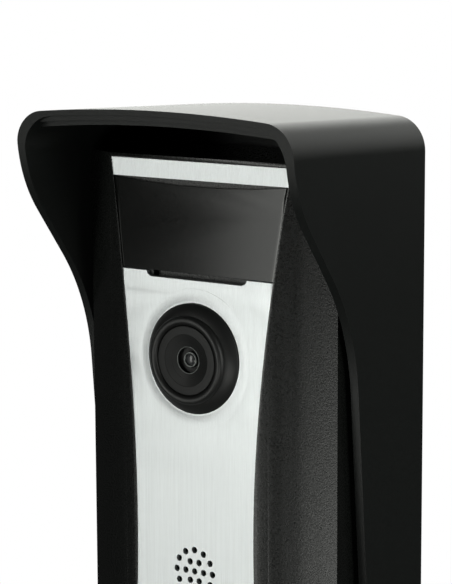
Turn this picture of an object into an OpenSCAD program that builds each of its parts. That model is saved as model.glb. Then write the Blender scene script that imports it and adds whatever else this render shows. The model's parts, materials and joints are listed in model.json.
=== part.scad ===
// Door intercom panel: an outdoor video door station under a wall-fixed rain hood.
// The wall is the plane Y = 0, the front faces -Y, +Z is up, and the origin is the
// centre of the four wall screws. All sizes are in millimetres.

/* [Rain hood] */
// Outside width of the hood
hood_w = 90; // [86:0.5:96]
// Height of the roof's crown at its front edge
hood_top = 91.4; // [90:0.1:94]
// Height of the open bottom edge
hood_bottom = -91; // [-96:0.5:-90]
// Depth from the wall to the roof's front edge
hood_depth = 62.6; // [60:0.1:66]
// Thickness of the hood's roof, sides and back
hood_wall = 2.5; // [2:0.1:2.6]
// Thickness of the roof's lip at its front edge
hood_lip = 1.5; // [1.2:0.1:2]
// Radius of the crowned roof across its width
crown_r = 430; // [350:10:600]
// Outside radius of the two top corners
corner_r = 9.2; // [8:0.1:12]
// Angle by which the roof rises towards the front
roof_rise = 2.1; // [1:0.1:2.5]
// Height where the side edge starts to sweep back from the front
rim_z = 85; // [82:0.5:86]
// Radius of the upper, convex bend of the side edge
rim_r_upper = 37.3; // [34:0.1:40]
// Steepest angle of the side edge, measured from the vertical
rim_angle = 37.6; // [35:0.1:40]
// Length of the straight stretch between the two bends
rim_straight = 16.7; // [14:0.1:18]
// Radius of the lower, concave bend of the side edge
rim_r_lower = 59.6; // [55:0.1:64]
// Angle from the vertical of the long lower stretch
rim_end_angle = 4.8; // [4:0.1:6]

/* [Wall fixing] */
// Distance between the wall screws across the hood
wall_hole_x = 50; // [46:1:52]
// Distance between the wall screws along the hood
wall_hole_z = 120; // [110:1:122]
// Radius of the wall screw holes
wall_hole_r = 2.25; // [2:0.05:2.4]
// Width and height of the cable opening in the hood's back
cable_opening = 34; // [30:1:36]
// Radius of the cable hole in the grommet
cable_r = 3; // [2.5:0.1:3.5]

/* [Housing] */
// Width of the unit
unit_w = 81.8; // [80:0.1:82]
// Height of the unit's top edge
unit_top = 77.4; // [77:0.1:78]
// Height of the unit's bottom edge
unit_bottom = -85; // [-86:0.5:-84.5]
// Radius of the upright arc that shapes the unit's front
front_r = 84.3; // [82:0.1:88]
// Distance from the wall to the crest of that arc
front_crest = 46.8; // [46:0.1:47.4]
// Distance from the wall to the front panel's crest line
panel_crest = 44.3; // [44:0.1:44.6]
// Height of the panel's crest line, where the panel is narrowest
panel_crest_z = -25; // [-30:1:-20]
// Radius of the panel's lean in the side view
panel_lean_r = 1700; // [1500:50:2000]
// Radius of the tighter bend of the front near the unit's top
top_lean_r = 510; // [450:10:700]
// Height where that bend begins
top_lean_z = 60; // [58:1:62]
// Thickness of the housing's walls
shell = 2.4; // [2:0.1:2.6]

/* [Front panel] */
// Thickness of the panel, the top strip and the window
panel_t = 1.2; // [1:0.1:1.3]
// Height of the top strip's upper edge
strip_top = 76.3; // [76:0.1:76.4]
// Height of the top strip's lower edge
strip_bottom = 71.4; // [71:0.1:72]
// Height of the window's lower edge
window_bottom = 46.5; // [46:0.1:48]
// Depth of the crescent gap over the window
crescent = 1.5; // [1:0.1:2]
// Width of the finger notch under the window
notch_w = 33.4; // [28:0.2:36]
// Depth of the finger notch
notch_h = 1.5; // [1:0.1:2]

/* [Camera] */
// Height of the lens
lens_z = 23.8; // [22:0.1:25]
// Outside radius of the bezel
bezel_r = 14.9; // [14.5:0.1:15.2]
// Radius of the swivelling eyeball
ball_r = 11.5; // [11.4:0.05:11.6]
// Distance from the wall to the eyeball's centre
ball_y = 40.7; // [40.6:0.05:40.8]

/* [Call button and speaker] */
// Height of the call button's centre
button_z = -60; // [-61:0.5:-59]
// Radius of the call button
button_r = 9; // [8:0.1:9.2]
// Travel of the call button
button_travel = 0.6; // [0.4:0.1:0.8]
// Height of the speaker's centre
speaker_z = -35; // [-36:0.5:-34]
// Height of the microphone hole
mic_z = -77.2; // [-77.5:0.1:-77]

/* [Hidden] */
$fn = 64;
smooth_fn = 720;

// Hood
back_top = hood_top - hood_depth * tan(roof_rise);
inner_corner_r = 10;
// Two drip ribs and the full roof: distances from the wall and drop below the crown
roof_steps = [[59.6, 60.9, 2.9], [57.2, 58.5, 4.2], [-10, 54, hood_wall]];
bottom_corner_r = 6;

// Bracket: a folded steel plate on the hood's back
bracket_y = hood_wall;
bracket_t = 1;
bracket_w = 60;
bracket_top = 68;
hook_x = 22;
hook_z = [38, -42];
hook_w = 8;
tab_z = unit_bottom - 1.6;
tab_y = 14;

// Housing
case_back = 5.2;
case_split = 20;
inner_front = 39;
front_c = front_r - front_crest;
unit_mid = (unit_top + unit_bottom) / 2;
unit_h = unit_top - unit_bottom;
bead = 0.34;
pocket_gap = 0.15;
window_gap = 0.16;
case_screw_x = 33.5;
case_screw_z = [70, -77];
boss_r = 3.4;

// Boards
board_y = 22;
board_t = 1.6;
board_front = board_y + board_t;
board_w = 59;
board_z = [-79, 66];
post_x = 26;
post_z = [-71, 47];
ir_board_y = 34;
ir_board_front = 35.2;
ir_z = 59;
ir_x = [5.5, 11, 16.5];
ir_post_x = 21.5;

// Camera
swivel_gap = 0.3;
ball_face = 47.5;
seat_r = ball_r + swivel_gap;
barrel_back = 37.5;
clamp_back = 33.6;
ear_x = 19;
washer_t = 0.7;
washer_y = [33.2, 35.1];
holder_back = 28.4;

// Button
ring_r = 11.4;
button_front = 45.3;
flange_y = 36.7;
guide_y = 31;
guide_t = 1.5;
stem_r = 2.5;
stem_end = 30.4;
switch_front = 27.1;
plunger_r = 1.75;
plunger_back = 26.2;

// ---------- Helpers: "y" means distance from the wall towards the front ----------

// A block between two distances from the wall
module block(x0, x1, y0, y1, z0, z1)
    translate([x0, -y1, z0]) cube([x1 - x0, y1 - y0, z1 - z0]);

// A round bar pointing at the front
module bar(r, y0, y1, x = 0, z = 0, n = 64)
    translate([x, -y0, z]) rotate([90, 0, 0]) cylinder(r = r, h = y1 - y0, $fn = n);

// An outline in front view, extruded between two distances from the wall
module front_view(y0, y1)
    translate([0, -y0, 0]) rotate([90, 0, 0]) linear_extrude(y1 - y0) children();

// An outline in side view ([Y, Z] points), extruded along X
module side_view(x0, x1)
    translate([x0, 0, 0]) rotate([90, 0, 90]) linear_extrude(x1 - x0) children();

// A turned shape: the outline's x is the radius and its y the distance from the wall
module turned(x = 0, z = 0)
    translate([x, 0, z]) rotate([90, 0, 0]) rotate_extrude($fn = 128) children();

// A rectangle with round corners, centred on the unit
module unit_outline(inset) {
    w = unit_w / 2 - inset;
    h = unit_h / 2 - inset;
    r = 3.5 - inset / 2;
    translate([0, unit_mid]) union() {
        square([2 * w, 2 * (h - r)], center = true);
        square([2 * (w - r), 2 * h], center = true);
        for (sx = [-1, 1], sz = [-1, 1])
            translate([sx * (w - r), sz * (h - r)]) circle(r);
    }
}

// Points on an arc, from angle a0 to angle a1
function arc(c, r, a0, a1, n) =
    [for (i = [0:n]) let (a = a0 + (a1 - a0) * i / n) c + r * [cos(a), sin(a)]];

function reverse(list) = [for (i = [len(list) - 1:-1:0]) list[i]];

// ---------- Rain hood ----------

// The hood's arch in front view, its crown at height 0
module arch(side, top, corner) {
    r = crown_r - top;
    h = hood_w / 2 - side;
    low = -250;
    lift = sqrt(pow(r - corner, 2) - pow(h - corner, 2));
    tip = asin((h - corner) / (r - corner));
    right_c = [h - corner, lift - crown_r];
    left_c = [corner - h, right_c[1]];
    polygon(concat(
        [[-h, low], [h, low]],
        arc(right_c, corner, 0, 90 - tip, 14),
        arc([0, -crown_r], r, 90 - tip, 90 + tip, 20),
        arc(left_c, corner, 90 + tip, 180, 14)));
}

// An outline swept from the wall to the front, rising with the roof
module sweep(y0, y1)
    translate([0, 0, back_top]) rotate([-roof_rise, 0, 0]) front_view(y0, y1) children();

// Everything under the crown, lowered by drop
module under_crown(drop) {
    r = crown_r - drop;
    tip = asin(hood_w / 2 / r);
    polygon(concat([[-hood_w / 2, -250], [hood_w / 2, -250]],
        arc([0, -crown_r], r, 90 - tip, 90 + tip, 20)));
}

// Side view of the hood: the swept-back edge of its two sides
module hood_side() {
    start = [-hood_depth + rim_r_upper, rim_z];
    knee = start + rim_r_upper * [-cos(rim_angle), -sin(rim_angle)];
    bend = knee + rim_straight * [sin(rim_angle), -cos(rim_angle)];
    lower_c = bend - rim_r_lower * [cos(rim_angle), sin(rim_angle)];
    foot = lower_c + rim_r_lower * [cos(rim_end_angle), sin(rim_end_angle)];
    round_z = hood_bottom + bottom_corner_r;
    round_y = foot[0] + (foot[1] - round_z) * tan(rim_end_angle)
        + bottom_corner_r / cos(rim_end_angle);
    polygon(concat(
        [[0, hood_bottom], [0, hood_top + 5], [-hood_depth, hood_top + 5]],
        arc(start, rim_r_upper, 180, 180 + rim_angle, 12),
        arc(lower_c, rim_r_lower, rim_angle, rim_end_angle, 14),
        arc([round_y, round_z], bottom_corner_r, 180 + rim_end_angle, 270, 6)));
}

module roof_underside()
    for (step = roof_steps)
        difference() {
            sweep(step[0], step[1]) arch(0.5, 0.5, corner_r - 0.5);
            sweep(step[0] - 1, step[1] + 1) under_crown(step[2]);
        }

module rain_hood() color("#1d1f1e") difference() {
    intersection() {
        sweep(-10, hood_depth + 10) arch(0, 0, corner_r);
        side_view(-hood_w / 2 - 1, hood_w / 2 + 1) hood_side();
    }
    difference() {
        sweep(-10, hood_depth + 10) arch(hood_wall, hood_lip, inner_corner_r);
        block(-hood_w, hood_w, -20, hood_wall, hood_bottom - 150, hood_top + 20);
        roof_underside();
    }
    block(-cable_opening / 2, cable_opening / 2, -1, hood_wall + 1,
        -cable_opening / 2, cable_opening / 2);
    wall_holes(-1, hood_wall + 1);
}

module wall_holes(y0, y1)
    for (sx = [-1, 1], sz = [-1, 1])
        bar(wall_hole_r, y0, y1, sx * wall_hole_x / 2, sz * wall_hole_z / 2);

// ---------- Wall bracket ----------

module wall_bracket() color("#b9bcbd") difference() {
    y1 = bracket_y + bracket_t;
    union() {
        block(-bracket_w / 2, bracket_w / 2, bracket_y, y1, tab_z, bracket_top);
        block(-12, 12, bracket_y, tab_y, tab_z, tab_z + bracket_t);
        for (sx = [-1, 1], z = hook_z) {
            block(sx * hook_x - hook_w / 2, sx * hook_x + hook_w / 2,
                y1 - 0.1, 8.8, z, z + 1);
            block(sx * hook_x - hook_w / 2, sx * hook_x + hook_w / 2,
                7.8, 8.8, z, z + 4);
        }
    }
    wall_holes(bracket_y - 1, y1 + 1);
    block(-cable_opening / 2, cable_opening / 2, 0, 5,
        -cable_opening / 2, cable_opening / 2);
    translate([0, -10, tab_z - 1]) cylinder(r = 1.7, h = 3);
}

module locking_screw() color("#a8abad") translate([0, -10, 0]) {
    translate([0, 0, tab_z - 2]) difference() {
        cylinder(r = 2.8, h = 2);
        for (a = [0, 90])
            rotate([0, 0, a]) translate([-1.6, -0.35, -0.1]) cube([3.2, 0.7, 1.1]);
    }
    translate([0, 0, tab_z - 0.1]) cylinder(r = 1.48, h = 9.4);
}

// ---------- Housing ----------

// Points on the leaning front surface in side view, moved back by depth
function lean(depth) = let (
    c = [panel_lean_r - panel_crest, panel_crest_z],
    top = asin((top_lean_z - panel_crest_z) / panel_lean_r),
    low = asin(112 / panel_lean_r),
    top_c = c + (panel_lean_r - top_lean_r) * [-cos(top), sin(top)])
    concat(
        arc(top_c, top_lean_r - depth, 176.7 - top, 180 - top, 9),
        arc(c, panel_lean_r - depth, 180.2 - top, 180 + low, 24));

// Everything behind the leaning front surface
module behind_front() side_view(-45, 45)
    polygon(concat([[0, unit_bottom - 60], [0, unit_top + 20]], lean(0)));

// The upright arc that shapes the unit's front
module front_arc(r, z0, z1)
    translate([0, front_c, z0]) cylinder(r = r, h = z1 - z0, $fn = smooth_fn);

// A layer between two depths under the front surface, inside the upright arc
module front_layer(r, depth0, depth1, z0, z1) intersection() {
    front_arc(r, z0, z1);
    side_view(-45, 45) polygon(concat(lean(depth0), reverse(lean(depth1))));
}

module rear_cover() color("#232524") difference() {
    union() {
        difference() {
            front_view(case_back, case_split) unit_outline(0);
            front_view(case_back + 2.2, case_split + 1) unit_outline(2.2);
        }
        for (sx = [-1, 1], z = case_screw_z)
            bar(boss_r, case_back + 1, case_split, sx * case_screw_x, z);
        block(-6, 6, case_back + 1, 15, unit_bottom + 1, unit_bottom + 8);
    }
    for (sx = [-1, 1], z = case_screw_z) {
        bar(3, case_back - 1, 9.2, sx * case_screw_x, z);
        bar(1.6, case_back, case_split + 1, sx * case_screw_x, z);
    }
    for (sx = [-1, 1], z = hook_z)
        block(sx * hook_x - hook_w / 2 - 0.5, sx * hook_x + hook_w / 2 + 0.5,
            case_back - 1, case_back + 4, z - 4.5, z + 1);
    bar(5.5, case_back - 1, case_back + 4);
    bar(2.4, case_back - 1, case_back + 4, 18, -30);
    translate([0, -10, unit_bottom - 1]) cylinder(r = 1.5, h = 9.5);
    seal_ring(0.02);
}

// The seal lies in a groove in the rear cover's front edge
module seal_ring(grow) difference() {
    front_view(case_split - 1 - grow, case_split) unit_outline(0.6 - grow);
    front_view(case_split - 2, case_split + 1) unit_outline(1.6 + grow);
}

module case_seal() color("#3a3a3a") seal_ring(0);

module front_housing() color("#1b1d1c") difference() {
    union() {
        difference() {
            intersection() {
                front_arc(front_r, unit_bottom, unit_top);
                front_view(case_split, 60) unit_outline(0);
                behind_front();
            }
            intersection() {
                front_arc(front_r - shell, unit_bottom, unit_top);
                front_view(case_split - 1, inner_front) unit_outline(2.2);
            }
        }
        housing_posts();
    }
    front_layer(front_r - bead + pocket_gap, -5, panel_t + 0.05, unit_bottom + 2.5,
        strip_top + 0.2);
    bar(12.6, 30, 50, 0, lens_z, 128);
    block(-19.3, 19.3, 30, 50, window_bottom + 4.5, strip_bottom - 4.5);
    // Blind recess behind the panel's notch
    block(1.5 - notch_w / 2, notch_w / 2 - 1.5, inner_front + 0.9, 50,
        window_bottom - notch_h - 0.2, window_bottom + 0.6);
    bar(ring_r + 0.1, 30, 50, 0, button_z, 128);
    speaker_holes(1.1, 30, 50);
    bar(1, 30, 50, 0, mic_z);
    post_holes();
}

// Posts behind the front wall: case screws, main board, camera clamp, lamp board, guide
module housing_posts() {
    for (sx = [-1, 1]) {
        for (z = case_screw_z)
            bar(boss_r, case_split, 37.6, sx * case_screw_x, z);
        for (z = post_z)
            bar(2.6, board_front, inner_front + 0.5, sx * post_x, z);
        bar(2.4, 36, inner_front + 0.5, sx * ear_x, lens_z);
        bar(2, ir_board_front, inner_front + 0.5, sx * ir_post_x, ir_z);
        bar(2.2, guide_y + guide_t, inner_front + 0.5, sx * 15.5, button_z);
    }
}

module post_holes()
    for (sx = [-1, 1]) {
        for (z = case_screw_z)
            bar(1.5, case_split - 1, 31, sx * case_screw_x, z);
        for (z = post_z)
            bar(1.1, board_front - 1, 32, sx * post_x, z);
        bar(0.9, 35, 40, sx * ear_x, lens_z);
        bar(0.8, ir_board_front - 1, 38, sx * ir_post_x, ir_z);
        bar(0.9, guide_y, 38, sx * 15.5, button_z);
    }

// A screw with a cross recess; its head faces the wall
module rear_screw(head_r, head_h, r, length, y, x, z) {
    difference() {
        bar(head_r, y - head_h, y, x, z);
        for (a = [0, 90])
            translate([x, 0, z]) rotate([0, a, 0])
                block(-head_r * 0.6, head_r * 0.6, y - head_h - 1,
                    y - head_h * 0.5, -head_r * 0.13, head_r * 0.13);
    }
    bar(r, y - 0.1, y + length, x, z);
}

module case_screws() color("#8f9294")
    for (sx = [-1, 1], z = case_screw_z)
        rear_screw(2.8, 2, 1.48, 20, 9.2, sx * case_screw_x, z);

// ---------- Panel, strip and window ----------

// Round holes of the speaker grille: a centre hole and two rings
module speaker_holes(r, y0, y1)
    for (ring = [0:2], i = [0:max(0, 6 * ring - 1)])
        bar(r, y0, y1, 3 * ring * cos(i * 60 / max(1, ring)),
            speaker_z + 3 * ring * sin(i * 60 / max(1, ring)), 24);

// Shallow raised collar round the camera, square to the leaning panel
module panel_collar() {
    lean_angle = asin((lens_z - panel_crest_z) / panel_lean_r);
    front = panel_crest - panel_lean_r * (1 - cos(lean_angle));
    translate([0, -front, lens_z]) rotate([90 - lean_angle, 0, 0])
        rotate_extrude($fn = 128) polygon(concat([[12, -0.5], [12, 0.42]],
            [for (i = [0 : 8]) [15.2 + 0.45 * i, 0.45 * pow(1 - i / 8, 2) - 0.03]],
            [[18.8, -0.5]]));
}

module front_panel() color("#c9ccca") difference() {
    union() {
        front_layer(front_r - bead, 0, panel_t, unit_bottom + 2.7, window_bottom - 0.3);
        panel_collar();
    }
    bar(bezel_r + 0.15, 43, 50, 0, lens_z, 128);
    bar(12.6, 30, 50, 0, lens_z, 128);
    bar(ring_r + 0.1, 30, 50, 0, button_z, 128);
    speaker_holes(0.9, 30, 50);
    bar(0.6, 30, 50, 0, mic_z);
    translate([0, 0, window_bottom - 0.3]) front_view(30, 60)
        polygon([[-notch_w / 2, 1], [-notch_w / 2, 0], [-notch_w / 2 + 0.4, -0.9],
            [-notch_w / 2 + 1.6, -notch_h], [notch_w / 2 - 1.6, -notch_h],
            [notch_w / 2 - 0.4, -0.9], [notch_w / 2, 0], [notch_w / 2, 1]]);
}

module top_strip() color("#c9ccca")
    front_layer(front_r - bead, 0, panel_t, strip_bottom, strip_top);

module ir_window() color("#141615") {
    difference() {
        front_layer(front_r - bead - window_gap, 0, panel_t, window_bottom,
            strip_bottom - 0.2);
        crescent_cut();
    }
    // Two locating tabs in the ends of the panel's notch
    intersection() {
        front_layer(front_r - 10, panel_t * 0.3, panel_t, window_bottom - 1.5,
            window_bottom + 0.05);
        for (x = [3.2 - notch_w / 2, notch_w / 2 - 4.4])
            block(x, x + 1.1, 30, 60, window_bottom - 2, window_bottom + 1);
    }
}

// The window's upper edge dips in the middle along a large arc
module crescent_cut() {
    half = 28.6;
    r = (half * half + crescent * crescent) / (2 * crescent);
    bar(r, 30, 60, 0, strip_bottom - 0.2 - crescent + r, smooth_fn);
}

// ---------- Camera ----------

module lens_bezel() color("#1e201f") turned(0, lens_z) difference() {
    union() {
        translate([bezel_r - 3.95, 46.75]) circle(1.35, $fn = 48);
        intersection() {
            translate([bezel_r - 3.3, 43.4]) circle(3.3, $fn = 96);
            translate([0, 43]) square([20, 10]);
        }
        translate([8, barrel_back]) square([4.3, 8.5]);
    }
    translate([0, ball_y]) circle(seat_r, $fn = 128);
    translate([-20, 0]) square([20, 60]);
}

module camera_ball() color("#242625") turned(0, lens_z) difference() {
    translate([0, ball_y]) circle(ball_r, $fn = 128);
    translate([-20, 0]) square([20, 60]);
    translate([-20, ball_face]) square([60, 10]);
    translate([-20, 0]) square([60, 34.5]);
    polygon([[0, 60], [0, 30], [6.1, 30], [6.1, 45.6], [5.2, 45.8], [5.2, 46.9],
        [7.15, 47.5], [7.15, 60]]);
}

module lens_barrel() color("#191a1a") turned(0, lens_z)
    polygon([[2.6, 30], [6, 30], [6, 45.6], [5.1, 45.8], [5.1, 46.85], [3.6, 46.4],
        [3.6, 45.2], [2.6, 45.2]]);

module lens_retainer() color("#4b4e4d") turned(0, lens_z)
    polygon([[2.2, 45.2], [3.55, 45.2], [3.55, 46.5], [3.25, 46.5], [3, 45.8], [2.2, 45.7]]);

module front_lens() color("#39424a") turned(0, lens_z) intersection() {
    translate([0, 40]) square([2.15, 10]);
    translate([0, 42.5]) circle(3.6, $fn = 96);
    translate([0, 44.2]) square([3, 5]);
}

module lens_holder() color("#151616") difference() {
    union() {
        bar(7.4, holder_back, 33.4, 0, lens_z);
        block(-8, 8, holder_back, holder_back + 1.2, lens_z - 8, lens_z + 8);
    }
    bar(6, 29.9, 40, 0, lens_z);
    block(-3.6, 3.6, holder_back - 1, 30.5, lens_z - 3, lens_z + 3);
}

module sensor_board() color("#1f5a3a")
    block(-8.5, 8.5, holder_back - 1, holder_back, lens_z - 8.5, lens_z + 8.5);

module image_sensor() color("#2d2f3a")
    block(-3.4, 3.4, holder_back, holder_back + 1.2, lens_z - 2.8, lens_z + 2.8);

// Spherical washer between the eyeball and the clamp
module friction_washer() color("#d8d4c8") turned(0, lens_z) difference() {
    translate([0, ball_y]) circle(seat_r + washer_t, $fn = 128);
    translate([0, ball_y]) circle(seat_r, $fn = 128);
    translate([-20, 0]) square([20, 60]);
    translate([-20, washer_y[1]]) square([60, 60]);
    translate([-20, 0]) square([60, washer_y[0]]);
}

module camera_clamp() color("#2b2d2c") difference() {
    union() {
        bar(15, clamp_back, barrel_back, 0, lens_z, 128);
        for (sx = [-1, 1]) {
            bar(3, clamp_back, 36, sx * ear_x, lens_z);
            block(sx * 16 - 4, sx * 16 + 4, clamp_back, 36, lens_z - 2.5, lens_z + 2.5);
        }
    }
    turned(0, lens_z) intersection() {
        translate([0, ball_y]) circle(seat_r + washer_t + swivel_gap, $fn = 128);
        translate([0, 20]) square([20, 40]);
    }
    for (sx = [-1, 1])
        bar(1, 30, 50, sx * ear_x, lens_z);
}

module clamp_screws() color("#8f9294")
    for (sx = [-1, 1])
        rear_screw(1.8, 1.2, 0.88, 4.5, clamp_back, sx * ear_x, lens_z);

// ---------- Infrared lamp board ----------

module ir_board() color("#1f5a3a") difference() {
    block(-24.5, 24.5, ir_board_y, ir_board_front, ir_z - 7, ir_z + 7);
    for (sx = [-1, 1])
        bar(0.95, 30, 40, sx * ir_post_x, ir_z);
}

// Round lamps: a rim, a body and a dome
module ir_leds() color("#2a2340") {
    r = 2.5;
    dome = 38.2;
    for (sx = [-1, 1], x = ir_x)
        turned(sx * x, ir_z) polygon(concat(
            [[0, ir_board_front], [r + 0.2, ir_board_front], [r + 0.2, ir_board_front + 0.8],
                [r, ir_board_front + 0.8]],
            arc([0, dome], r, 0, 90, 8)));
}

module light_sensor() color("#b0422e")
    bar(2, ir_board_front, 37.2, 0, ir_z + 3, 32);

module ir_board_screws() color("#8f9294")
    for (sx = [-1, 1])
        rear_screw(1.6, 1, 0.78, 3.5, ir_board_y, sx * ir_post_x, ir_z);

// ---------- Main board ----------

module main_board() color("#1f5a3a") difference() {
    block(-board_w / 2, board_w / 2, board_y, board_front, board_z[0], board_z[1]);
    for (sx = [-1, 1], z = post_z)
        bar(1.15, 10, 30, sx * post_x, z);
}

// Size and place of each chip on the board's front face: x, z, width, height, thickness
chips = [[-15, -22, 12, 12, 1.6], [14, -14, 9, 7, 1.4], [-14, 36, 10, 10, 1.5],
    [15, 36, 7, 12, 1.8], [17, -58, 6, 8, 1.4], [-18, -50, 5, 6, 1.2]];

module board_chips() color("#1c1c1e") {
    for (c = chips)
        block(c[0] - c[2] / 2, c[0] + c[2] / 2, board_front, board_front + c[4],
            c[1] - c[3] / 2, c[1] + c[3] / 2);
    for (x = [-20, 20])
        bar(3.2, board_front, board_front + 7, x, 58, 32);
}

module board_screws() color("#8f9294")
    for (sx = [-1, 1], z = post_z)
        rear_screw(2.2, 1.4, 1.08, 7.5, board_y, sx * post_x, z);

// Screw terminals on the board's rear face, in line with the cable grommet
module terminal_block() color("#2f7a4d") difference() {
    block(-10, 10, 12, board_y, -26, -17);
    for (i = [0:3]) {
        bar(1.6, 11, 16, -7.5 + 5 * i, -21.5, 24);
        block(-9 + 5 * i, -6 + 5 * i, 17, 20, -18.5, -16);
    }
}

module volume_trimmer() color("#2b4f8f") difference() {
    block(14.5, 21.5, 17, board_y, -33.5, -26.5);
    bar(2.05, 16, 20, 18, -30);
}

module trimmer_rotor() color("#e4e1d6") difference() {
    bar(2, 16.6, 19.9, 18, -30);
    block(16.4, 19.6, 16, 17.4, -30.3, -29.7);
}

// ---------- Speaker and microphone ----------

module speaker_basket() color("#303231") turned(0, speaker_z)
    polygon([[5.2, 33.8], [7, 33.8], [10, 36.2], [10, 38.2], [9, 38.2], [9, 36.9],
        [6.6, 35], [5.2, 35]]);

module speaker_cone() color("#d9d5c4") turned(0, speaker_z)
    polygon([[0, 36.2], [4, 35.9], [6, 36.6], [8.9, 37.2], [8.9, 37.4], [6, 36.8],
        [4, 36.1], [0, 36.4]]);

module speaker_magnet() color("#8d9092")
    bar(5.2, 31, 35.2, 0, speaker_z);

module speaker_gasket() color("#3a3a3a") turned(0, speaker_z)
    translate([8.4, 38.2]) square([1.5, inner_front - 38.2]);

module microphone() color("#a9acae")
    bar(2.4, 34.5, 37.6, 0, mic_z);

module mic_boot() color("#2a2a2a") turned(0, mic_z)
    polygon([[2.4, 34], [3.7, 34], [3.7, inner_front], [1, inner_front], [1, 37.6],
        [2.4, 37.6]]);

// ---------- Call button ----------

module call_button() color("#c2c5c4") union() {
    intersection() {
        bar(button_r, flange_y, button_front, 0, button_z, 128);
        translate([0, 60 - button_front, button_z]) sphere(60, $fn = smooth_fn / 2);
    }
    bar(10.1, flange_y, 37.7, 0, button_z, 128);
    bar(stem_r, stem_end, flange_y + 0.1, 0, button_z);
}

// Light guide around the button, with a flange behind the front wall
module button_ring() color("#a9c9dd") difference() {
    union() {
        bar(ring_r, 38, 44.9, 0, button_z, 128);
        bar(12.6, 38, inner_front, 0, button_z, 128);
    }
    bar(button_r + 0.3, 30, 50, 0, button_z, 128);
}

// Bridge behind the button that guides its stem and seats its spring
module button_guide() color("#3c3f3e") difference() {
    union() {
        block(-17.7, 17.7, guide_y, guide_y + guide_t, button_z - 3, button_z + 3);
        bar(6.5, guide_y, guide_y + guide_t, 0, button_z);
    }
    bar(stem_r + 0.08, 20, 40, 0, button_z);
    for (sx = [-1, 1])
        bar(1, 20, 40, sx * 15.5, button_z);
}

module guide_screws() color("#8f9294")
    for (sx = [-1, 1])
        rear_screw(1.8, 1.2, 0.88, 6, guide_y, sx * 15.5, button_z);

// A coil spring swept along its helix, with eight sides
spring_turns = 4;
spring_steps = 16;
spring_wire = 0.3;
spring_mean = 4.2;
spring_y = [guide_y + guide_t, flange_y];

function spring_point(i, k) = let (
    a = 360 * i / spring_steps,
    n = spring_turns * spring_steps,
    run = spring_y[1] - spring_y[0] - 2 * spring_wire - 0.1,
    b = 45 * k,
    r = spring_mean + spring_wire * cos(b))
    [r * cos(a), -(spring_y[0] + spring_wire + 0.05 + run * i / n + spring_wire * sin(b)),
        button_z + r * sin(a)];

module button_spring() color("#c9ccce") {
    n = spring_turns * spring_steps;
    points = [for (i = [0:n], k = [0:7]) spring_point(i, k)];
    sides = [for (i = [0:n - 1], k = [0:7])
        [8 * i + k, 8 * i + (k + 1) % 8, 8 * i + 8 + (k + 1) % 8, 8 * i + 8 + k]];
    first = [for (k = [0:7]) 7 - k];
    last = [for (k = [0:7]) 8 * n + k];
    polyhedron(points, concat([first, last], sides), convexity = 10);
}

module tact_switch() color("#26282a") difference() {
    block(-3, 3, board_front, switch_front, button_z - 3, button_z + 3);
    bar(plunger_r + 0.08, plunger_back - button_travel - 0.4, 30, 0, button_z);
}

module switch_plunger() color("#caa75c")
    bar(plunger_r, plunger_back, stem_end - 0.1, 0, button_z);

// ---------- Cable entry ----------

module cable_grommet() color("#161616") turned()
    polygon([[cable_r, 4.2], [6.8, 4.2], [6.8, 5.2], [5.5, 5.2], [5.5, 7.4], [6.8, 7.4],
        [6, 9.4], [cable_r, 10.2]]);

rain_hood();
wall_bracket();
rear_cover();
case_seal();
front_housing();
front_panel();
top_strip();
ir_window();
lens_bezel();
camera_ball();
lens_barrel();
lens_retainer();
front_lens();
lens_holder();
sensor_board();
image_sensor();
friction_washer();
camera_clamp();
clamp_screws();
ir_board();
ir_leds();
light_sensor();
ir_board_screws();
main_board();
board_chips();
board_screws();
terminal_block();
volume_trimmer();
trimmer_rotor();
speaker_basket();
speaker_cone();
speaker_magnet();
speaker_gasket();
microphone();
mic_boot();
call_button();
button_ring();
button_guide();
guide_screws();
button_spring();
tact_switch();
switch_plunger();
cable_grommet();
case_screws();
locking_screw();
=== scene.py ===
"""Looks of the door intercom panel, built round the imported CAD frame.

All places are in metres in the row frame: X to the visitor's right, -Y out of the wall, Z up.
"""
import json
import math

import bmesh
import bpy
from mathutils import Matrix, Vector

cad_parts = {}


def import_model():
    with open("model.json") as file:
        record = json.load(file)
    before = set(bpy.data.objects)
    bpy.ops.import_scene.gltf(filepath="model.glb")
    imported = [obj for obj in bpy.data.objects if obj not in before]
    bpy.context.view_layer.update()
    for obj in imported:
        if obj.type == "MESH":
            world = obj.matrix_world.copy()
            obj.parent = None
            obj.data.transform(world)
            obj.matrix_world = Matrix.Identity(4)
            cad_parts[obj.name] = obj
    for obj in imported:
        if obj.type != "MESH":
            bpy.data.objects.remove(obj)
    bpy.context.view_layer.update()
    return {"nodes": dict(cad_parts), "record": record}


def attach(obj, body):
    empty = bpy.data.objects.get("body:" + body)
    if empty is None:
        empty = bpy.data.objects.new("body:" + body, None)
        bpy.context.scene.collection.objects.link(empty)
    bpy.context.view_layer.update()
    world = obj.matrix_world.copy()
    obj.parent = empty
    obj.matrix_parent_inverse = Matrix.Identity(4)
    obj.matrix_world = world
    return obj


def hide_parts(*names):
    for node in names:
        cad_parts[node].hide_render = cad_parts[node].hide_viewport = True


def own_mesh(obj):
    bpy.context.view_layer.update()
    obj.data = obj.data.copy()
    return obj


MM = 0.001
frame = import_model()
NODES = frame["nodes"]
NOISE_LOW, NOISE_HIGH = 0.3, 0.7      # most of a noise texture lies between these


# ---------------------------------------------------------------- materials

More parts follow.
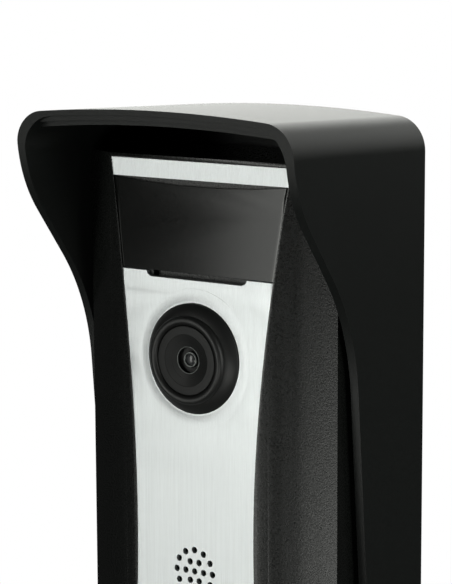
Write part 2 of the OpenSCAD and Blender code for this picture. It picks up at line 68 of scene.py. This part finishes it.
class Shader:
    """A material's node tree, with short calls for the nodes that it needs."""

    def __init__(self, name, color, roughness, metallic=0.0, ior=1.5, specular=0.5):
        self.mat = bpy.data.materials.new(name)
        self.mat.use_nodes = True
        self.tree = self.mat.node_tree
        self.bsdf = self.tree.nodes["Principled BSDF"]
        self.set("Base Color", (*color, 1))
        self.set("Roughness", roughness)
        self.set("Metallic", metallic)
        self.set("IOR", ior)
        self.set("Specular IOR Level", specular)
        self.color = color
        self.coords = self.node("ShaderNodeTexCoord").outputs["Object"]

    def node(self, kind, **inputs):
        made = self.tree.nodes.new(kind)
        for key, value in inputs.items():
            made.inputs[key].default_value = value
        return made

    def set(self, socket, value):
        self.bsdf.inputs[socket].default_value = value

    def link(self, out, to):
        self.tree.links.new(out, to)

    def scaled(self, scale):
        """Object coordinates stretched by scale, for grain with a direction."""
        mapping = self.node("ShaderNodeMapping")
        mapping.inputs["Scale"].default_value = scale
        self.link(self.coords, mapping.inputs["Vector"])
        return mapping.outputs["Vector"]

    def noise(self, scale, detail=2.0, rough=0.5, vector=None):
        tex = self.node("ShaderNodeTexNoise", Scale=scale, Detail=detail, Roughness=rough)
        self.link(vector or self.coords, tex.inputs["Vector"])
        return tex.outputs["Fac"]

    def ramp(self, fac, low, high, start, end):
        """fac mapped to a colour between low and high."""
        ramp = self.node("ShaderNodeValToRGB")
        first, last = ramp.color_ramp.elements
        first.position, last.position = start, end
        first.color, last.color = (*low, 1), (*high, 1)
        self.link(fac, ramp.inputs["Fac"])
        return ramp.outputs["Color"]

    def span(self, fac, low, high):
        """A noise mapped to a number between low and high."""
        span = self.node("ShaderNodeMapRange")
        for key, value in zip(("From Min", "From Max", "To Min", "To Max"),
                              (NOISE_LOW, NOISE_HIGH, low, high)):
            span.inputs[key].default_value = value
        self.link(fac, span.inputs["Value"])
        return span.outputs["Result"]

    def bump(self, height, distance, strength):
        bump = self.node("ShaderNodeBump", Strength=strength, Distance=distance)
        self.link(height, bump.inputs["Height"])
        self.link(bump.outputs["Normal"], self.bsdf.inputs["Normal"])

    def vary_color(self, fac, amount, start=NOISE_LOW, end=NOISE_HIGH):
        low = [c * (1 - amount) for c in self.color]
        high = [min(1, c * (1 + amount)) for c in self.color]
        self.link(self.ramp(fac, low, high, start, end), self.bsdf.inputs["Base Color"])

    def vary_roughness(self, fac, low, high):
        self.link(self.span(fac, low, high), self.bsdf.inputs["Roughness"])


def grained_plastic(name, color, roughness, grain=0.22, depth=0.035, spread=0.05,
                    specular=0.5):
    """Moulded plastic with a spark-eroded grain; grain and depth are in millimetres."""
    s = Shader(name, color, roughness, specular=specular)
    fine = s.noise(1 / (grain * MM), detail=3, rough=0.6)
    s.vary_color(fine, 0.5)
    s.vary_roughness(fine, roughness - spread, roughness + spread)
    s.bump(fine, depth * MM, 0.8)
    return s.mat


def brushed_metal(name, color, roughness):
    """Anodised metal brushed from top to bottom."""
    s = Shader(name, color, roughness, metallic=0.85)
    fine = (1 / (0.11 * MM), 1 / (0.11 * MM), 1 / (16 * MM))
    broad = (1 / (0.7 * MM), 1 / (0.7 * MM), 1 / (90 * MM))
    hair = s.noise(1, detail=3, rough=0.65, vector=s.scaled(fine))
    band = s.noise(1, detail=2, vector=s.scaled(broad))
    mix = s.node("ShaderNodeMath")
    mix.operation = "MULTIPLY_ADD"
    mix.inputs[1].default_value = 0.35
    s.link(band, mix.inputs[0])
    s.link(hair, mix.inputs[2])
    s.vary_color(mix.outputs[0], 0.09, 0.45, 0.9)
    s.vary_roughness(hair, roughness - 0.06, roughness + 0.1)
    s.bump(hair, 0.006 * MM, 0.35)
    s.set("Anisotropic", 0.5)
    return s.mat


def turned_metal(name, color, roughness):
    """Turned metal with a fine, even mottle."""
    s = Shader(name, color, roughness, metallic=0.9)
    marks = s.noise(1 / (0.12 * MM), detail=2)
    s.vary_color(marks, 0.07)
    s.vary_roughness(marks, roughness - 0.06, roughness + 0.08)
    return s.mat


def plain_metal(name, color, roughness):
    """Plated or drawn metal with faint mottling and fine scratches."""
    s = Shader(name, color, roughness, metallic=0.95)
    mottle = s.noise(700, detail=5)
    s.vary_color(mottle, 0.12)
    s.vary_roughness(mottle, roughness - 0.08, roughness + 0.1)
    s.bump(s.noise(5000, detail=2), 0.008 * MM, 0.3)
    return s.mat


def rubber(name, color):
    s = Shader(name, color, 0.75, specular=0.3)
    s.vary_color(s.noise(2500, detail=3), 0.25)
    s.bump(s.noise(3500, detail=2), 0.02 * MM, 0.5)
    return s.mat


def smooth_plastic(name, color, roughness):
    """Polished plastic with a faint unevenness."""
    s = Shader(name, color, roughness)
    cloud = s.noise(120, detail=4)
    s.vary_color(cloud, 0.12)
    s.vary_roughness(cloud, roughness - 0.04, roughness + 0.06)
    s.bump(s.noise(2600, detail=2), 0.006 * MM, 0.25)
    return s.mat


def satin_plastic(name, color, roughness, specular=0.5):
    """Fine-grained moulded plastic with a soft sheen."""
    s = Shader(name, color, roughness, specular=specular)
    fine = s.noise(1 / (0.16 * MM), detail=2, rough=0.6)
    s.vary_color(fine, 0.3)
    s.vary_roughness(fine, roughness - 0.05, roughness + 0.06)
    s.bump(fine, 0.012 * MM, 0.5)
    return s.mat


def smoked_acrylic(name, color):
    """Dark infrared-pass acrylic with a fine etched face."""
    s = Shader(name, color, 0.13, specular=0.45)
    fine = s.noise(1 / (0.4 * MM), detail=3, rough=0.6)
    s.vary_color(fine, 0.4)
    s.vary_roughness(fine, 0.11, 0.15)
    s.bump(fine, 0.006 * MM, 0.5)
    return s.mat


def clear_glass(name, color, roughness, transmission):
    s = Shader(name, color, roughness, ior=1.52)
    s.set("Transmission Weight", transmission)
    s.set("Coat Weight", 0.6)
    s.set("Coat Roughness", 0.02)
    s.vary_color(s.noise(900, detail=2), 0.05)
    return s.mat


def circuit_board(name, color):
    """Solder mask over copper: cells of tracks show as a slightly lighter green."""
    s = Shader(name, color, 0.32)
    cells = s.node("ShaderNodeTexBrick", Scale=1.0)
    cells.inputs["Mortar Size"].default_value = 0.012
    cells.inputs["Brick Width"].default_value = 0.5
    cells.inputs["Row Height"].default_value = 0.22
    cells.inputs["Color1"].default_value = (*color, 1)
    cells.inputs["Color2"].default_value = (*[c * 0.75 for c in color], 1)
    cells.inputs["Mortar"].default_value = (*[min(1, c * 2.1) for c in color], 1)
    turn = s.node("ShaderNodeMapping")
    turn.inputs["Rotation"].default_value = (math.radians(90), 0, 0)
    turn.inputs["Scale"].default_value = (110, 110, 110)
    s.link(s.coords, turn.inputs["Vector"])
    s.link(turn.outputs["Vector"], cells.inputs["Vector"])
    s.link(cells.outputs["Color"], s.bsdf.inputs["Base Color"])
    s.bump(cells.outputs["Fac"], 0.02 * MM, 0.3)
    return s.mat


BLACK = (0.012, 0.0135, 0.0128)
MATERIALS = {
    "hood_plastic": grained_plastic("hood_plastic", BLACK, 0.4, specular=0.28),
    "case_plastic": grained_plastic("case_plastic", (0.007, 0.0078, 0.0072), 0.27, 0.4, 0.06,
                                    spread=0.08),
    "bezel_plastic": satin_plastic("bezel_plastic", (0.013, 0.0135, 0.0132), 0.42),
    "eyeball_plastic": satin_plastic("eyeball_plastic", (0.010, 0.0105, 0.0102), 0.45, 0.3),
    "brushed_panel": brushed_metal("brushed_panel", (0.84, 0.87, 0.88), 0.42),
    "smoked_window": smoked_acrylic("smoked_window", (0.006, 0.0065, 0.006)),
    "lens_glass": clear_glass("lens_glass", (0.05, 0.052, 0.055), 0.25, 0.1),
    "barrel_black": smooth_plastic("barrel_black", (0.01, 0.0105, 0.0105), 0.45),
    "barrel_metal": turned_metal("barrel_metal", (0.16, 0.17, 0.165), 0.35),
    "zinc_steel": plain_metal("zinc_steel", (0.55, 0.56, 0.57), 0.34),
    "seal_rubber": rubber("seal_rubber", (0.02, 0.02, 0.02)),
    "circuit_board": circuit_board("circuit_board", (0.012, 0.09, 0.04)),
    "chip_black": grained_plastic("chip_black", (0.016, 0.016, 0.018), 0.55, grain=0.1),
    "led_epoxy": clear_glass("led_epoxy", (0.35, 0.3, 0.5), 0.08, 0.7),
    "sensor_face": smooth_plastic("sensor_face", (0.4, 0.09, 0.04), 0.2),
    "nylon_white": smooth_plastic("nylon_white", (0.62, 0.6, 0.54), 0.5),
    "terminal_green": smooth_plastic("terminal_green", (0.02, 0.22, 0.08), 0.4),
    "trimmer_blue": smooth_plastic("trimmer_blue", (0.02, 0.07, 0.3), 0.4),
    "cone_film": smooth_plastic("cone_film", (0.6, 0.57, 0.45), 0.25),
    "button_metal": turned_metal("button_metal", (0.62, 0.65, 0.64), 0.34),
    "light_guide": smooth_plastic("light_guide", (0.5, 0.66, 0.78), 0.3),
    "spring_steel": plain_metal("spring_steel", (0.55, 0.55, 0.56), 0.28),
    "plunger_brass": plain_metal("plunger_brass", (0.66, 0.46, 0.16), 0.3),
}
SLOTS = {row["node"]: row["material_slot"] for row in frame["record"]["subparts"]}


# ---------------------------------------------------------------- CAD pieces

BEVELS = {"rain_hood": 0.45, "front_housing": 0.12, "front_panel": 0.12, "top_strip": 0.12,
          "ir_window": 0.1, "rear_cover": 0.3, "wall_bracket": 0.15, "call_button": 0.3,
          "button_ring": 0.25}
FLAT_ANGLE = {"ir_window": 1.5}      # degrees; its curved face comes as many flat facets
USUAL_FLAT_ANGLE = 0.2
BEVEL_ANGLE = 28                     # degrees between two faces from which an edge is rounded


def dress(node, bevel):
    """Gives a CAD node its material and, where bevel (mm) is set, small moulded edges."""
    obj = NODES[node]
    obj.data.materials.clear()
    obj.data.materials.append(MATERIALS[SLOTS[node]])
    weld = obj.modifiers.new("weld", "WELD")
    weld.merge_threshold = 0.002 * MM
    if bevel:
        flat = obj.modifiers.new("flat", "DECIMATE")
        flat.decimate_type = "DISSOLVE"
        flat.angle_limit = math.radians(FLAT_ANGLE.get(node, USUAL_FLAT_ANGLE))
        round_off = obj.modifiers.new("bevel", "BEVEL")
        round_off.width = bevel * MM
        round_off.segments = 2
        round_off.limit_method = "ANGLE"
        round_off.angle_limit = math.radians(BEVEL_ANGLE)
        round_off.miter_outer = "MITER_ARC"
    for face in obj.data.polygons:
        face.use_smooth = True
    split = obj.modifiers.new("smooth", "WEIGHTED_NORMAL")
    split.keep_sharp = True


for name in NODES:
    dress(name, BEVELS.get(name, 0))


# ---------------------------------------------------------------- smooth turned pieces

LENS_Z = 23.8
BALL_Y = 40.7
BALL_R = 11.5
BALL_FACE = 47.5
SEAT_R = 11.8


def arc(centre, radius, start, end, count):
    """Points (radius, distance from the wall) on an arc between two angles in degrees."""
    angles = [math.radians(start + (end - start) * i / count) for i in range(count + 1)]
    return [(centre[0] + radius * math.cos(a), centre[1] + radius * math.sin(a))
            for a in angles]


def turned(name, profile, body, slot, replaces=None, material=None, sharp=35, closed=True,
           steps=128):
    """A shape turned about a line towards the front; profile points are (r, y) in mm."""
    verts, faces, rings = [], [], []
    for r, y in profile:
        if r < 1e-6:
            rings.append([len(verts)])
            verts.append((0, -y * MM, LENS_Z * MM))
            continue
        rings.append(list(range(len(verts), len(verts) + steps)))
        for i in range(steps):
            a = 2 * math.pi * i / steps
            verts.append((r * math.cos(a) * MM, -y * MM, (LENS_Z + r * math.sin(a)) * MM))
    pairs = list(zip(rings, rings[1:] + rings[:1])) if closed else list(zip(rings, rings[1:]))
    for low, high in pairs:
        for i in range(steps):
            j = (i + 1) % steps
            if len(low) == 1 and len(high) == 1:
                break
            if len(low) == 1:
                faces.append((low[0], high[i], high[j]))
            elif len(high) == 1:
                faces.append((low[i], high[0], low[j]))
            else:
                faces.append((low[i], high[i], high[j], low[j]))
    mesh = bpy.data.meshes.new(name)
    mesh.from_pydata(verts, [], faces)
    bm = bmesh.new()
    bm.from_mesh(mesh)
    bmesh.ops.recalc_face_normals(bm, faces=bm.faces)
    for edge in bm.edges:
        if len(edge.link_faces) == 2 and edge.calc_face_angle(0) > math.radians(sharp):
            edge.smooth = False
    for face in bm.faces:
        face.smooth = True
    bm.to_mesh(mesh)
    bm.free()
    mesh.materials.append(MATERIALS[material or slot])
    obj = bpy.data.objects.new(name, mesh)
    bpy.context.scene.collection.objects.link(obj)
    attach(obj, body)
    if replaces:
        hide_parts(replaces)


def camera_pieces():
    """The bezel's skirt and bead, the eyeball with its cone, and the lens's rings."""
    seat_front = BALL_Y + math.sqrt(SEAT_R ** 2 - 9.75 ** 2)
    turned("camera_bezel", [(12.3, 37.5), (12.3, 43.2), (14.95, 43.2)]
           + arc((14.8, 44.35), 0.15, 0, 50, 4)
           + arc((9.58, 39.9), 7.0, 40.8, 70.6, 16)
           + arc((10.8, 46.85), 1.25, -18, 165, 24)
           + [(9.62, 46.9), (9.75, seat_front)]
           + arc((0, BALL_Y), SEAT_R, 30, -15, 10),
           "station", "bezel_plastic", "lens_bezel", sharp=30)
    rim = math.degrees(math.asin((BALL_FACE - BALL_Y - 0.1) / BALL_R))
    turned("camera_eyeball", [(6.1, 34.5)] + arc((0, BALL_Y), BALL_R, -32, rim, 26)
           + arc((9.2, BALL_FACE - 0.1), 0.1, 50, 90, 3)
           + [(7.12, BALL_FACE), (7.04, BALL_FACE - 0.1), (5.2, 46.85), (5.2, 45.8),
              (6.1, 45.6)],
           "eyeball", "bezel_plastic", "camera_ball", "eyeball_plastic", sharp=12)
    turned("lens_tube", [(2.3, 30), (6, 30), (6, 45.6), (5.18, 45.8), (5.18, 46.844),
                         (3.9, 46.46), (3.76, 46.42), (3.5, 46.3), (3.5, 45.1), (2.3, 44.9)],
           "eyeball", "barrel_black", "lens_barrel", "eyeball_plastic", sharp=12)
    turned("lens_rim", arc((3.6, 46.36), 0.16, 0, 330, 11), "eyeball", "barrel_metal")
    turned("lens_ring", [(1.5, 44.6), (2.25, 44.6), (2.2, 45.4)]
           + arc((1.88, 45.4), 0.32, 0, 180, 10),
           "eyeball", "barrel_metal", "lens_retainer")
    turned("lens_glass_front", [(0, 44.2), (1.48, 44.2), (1.48, 45.35)]
           + arc((0, 42.6), 3.12, 61.7, 90, 14),
           "eyeball", "lens_glass", "front_lens", closed=False)


def return_spring():
    """The call button's spring, copied from the CAD coil onto the station body; the real spring
    shortens as the button goes in, but this copy keeps its length.
    """
    coil = NODES["button_spring"]
    obj = bpy.data.objects.new("return_spring", coil.data.copy())
    bpy.context.scene.collection.objects.link(obj)
    obj.matrix_world = coil.matrix_world.copy()
    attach(obj, "station")
    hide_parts("button_spring")
    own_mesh(obj)


camera_pieces()
return_spring()


# ---------------------------------------------------------------- camera, floor, light

def camera():
    """The camera of a product shot: a long lens, a little above and to the right."""
    azimuth, elevation, roll = (math.radians(a) for a in (36.104, 9.178, -0.272))
    distance = 0.6134
    forward = Vector((-math.sin(azimuth) * math.cos(elevation),
                      math.cos(azimuth) * math.cos(elevation), -math.sin(elevation)))
    right = Vector((math.cos(azimuth), math.sin(azimuth), 0))
    up = right.cross(forward)
    aim = right * -0.0172 + up * -0.0532 + Vector((0, 0, 0.09))
    x = right * math.cos(roll) + up * math.sin(roll)
    y = up * math.cos(roll) - right * math.sin(roll)
    data = bpy.data.cameras.new("camera")
    data.sensor_width = 36
    data.lens = 135.6
    data.clip_start, data.clip_end = 0.01, 100
    obj = bpy.data.objects.new("camera", data)
    bpy.context.scene.collection.objects.link(obj)
    turn = Matrix((x, y, -forward)).transposed().to_4x4()
    obj.matrix_world = Matrix.Translation(aim - forward * distance) @ turn
    bpy.context.scene.camera = obj


LAMP_DISTANCE = 2.0
LAMP_COLOR = (0.985, 1.0, 0.955)
LAMP_AIM = Vector((0, -0.045, 0.03))


def softbox(name, azimuth, elevation, size, radiance):
    """A lamp panel facing the object; azimuth 0 is straight in front, positive to the right."""
    data = bpy.data.lights.new(name, "AREA")
    data.shape = "RECTANGLE"
    data.size, data.size_y = size
    data.energy = math.pi * size[0] * size[1] * radiance
    data.color = LAMP_COLOR
    obj = bpy.data.objects.new(name, data)
    turn, lift = math.radians(azimuth), math.radians(elevation)
    away = Vector((math.sin(turn) * math.cos(lift), -math.cos(turn) * math.cos(lift),
                   math.sin(lift)))
    obj.location = LAMP_AIM + away * LAMP_DISTANCE
    obj.rotation_euler = away.to_track_quat("Z", "Y").to_euler()
    obj.visible_camera = False
    bpy.context.scene.collection.objects.link(obj)


def world(backdrop, ambient):
    """A white backdrop for the camera, and a dim room for everything else."""
    made = bpy.data.worlds.new("studio")
    bpy.context.scene.world = made
    made.use_nodes = True
    tree = made.node_tree
    background = tree.nodes["Background"]
    background.inputs["Color"].default_value = (1, 1, 1, 1)
    seen = tree.nodes.new("ShaderNodeLightPath").outputs["Is Camera Ray"]
    level = tree.nodes.new("ShaderNodeMapRange")
    level.inputs["To Min"].default_value = ambient
    level.inputs["To Max"].default_value = backdrop
    tree.links.new(seen, level.inputs["Value"])
    tree.links.new(level.outputs["Result"], background.inputs["Strength"])


def floor():
    """A plain white floor well below the wall unit, seen by the camera alone."""
    half, z = 8.0, -0.6
    mesh = bpy.data.meshes.new("floor")
    mesh.from_pydata([(-half, -half, z), (half, -half, z), (half, half, z), (-half, half, z)],
                     [], [(0, 1, 2, 3)])
    white = bpy.data.materials.new("floor_white")
    white.use_nodes = True
    glow = white.node_tree.nodes["Principled BSDF"].inputs
    glow["Base Color"].default_value = (0, 0, 0, 1)
    glow["Specular IOR Level"].default_value = 0
    glow["Emission Color"].default_value = (1, 1, 1, 1)
    glow["Emission Strength"].default_value = 1
    mesh.materials.append(white)
    obj = bpy.data.objects.new("floor", mesh)
    obj.visible_diffuse = obj.visible_glossy = obj.visible_shadow = False
    obj.visible_transmission = False
    bpy.context.scene.collection.objects.link(obj)


def studio():
    """Soft lamp panels round the wall unit; their sizes are in metres."""
    world(1.0, 0.02)
    softbox("key", -25, -4, (0.72, 2.0), 2.5)
    softbox("key_core", -22, -4, (0.16, 0.7), 3.2)
    softbox("rim", -50, -16, (0.16, 1.4), 0.8)
    softbox("fill", 27, -22, (1.05, 0.5), 3.8)
    softbox("side", 88, 9, (0.8, 1.8), 3.4)
    softbox("backdrop", -145, 19, (1.6, 1.5), 2.8)
    softbox("high_back", 168, 22, (1.3, 1.3), 1.5)


camera()
floor()
studio()
bpy.context.scene.view_settings.view_transform = "Standard"
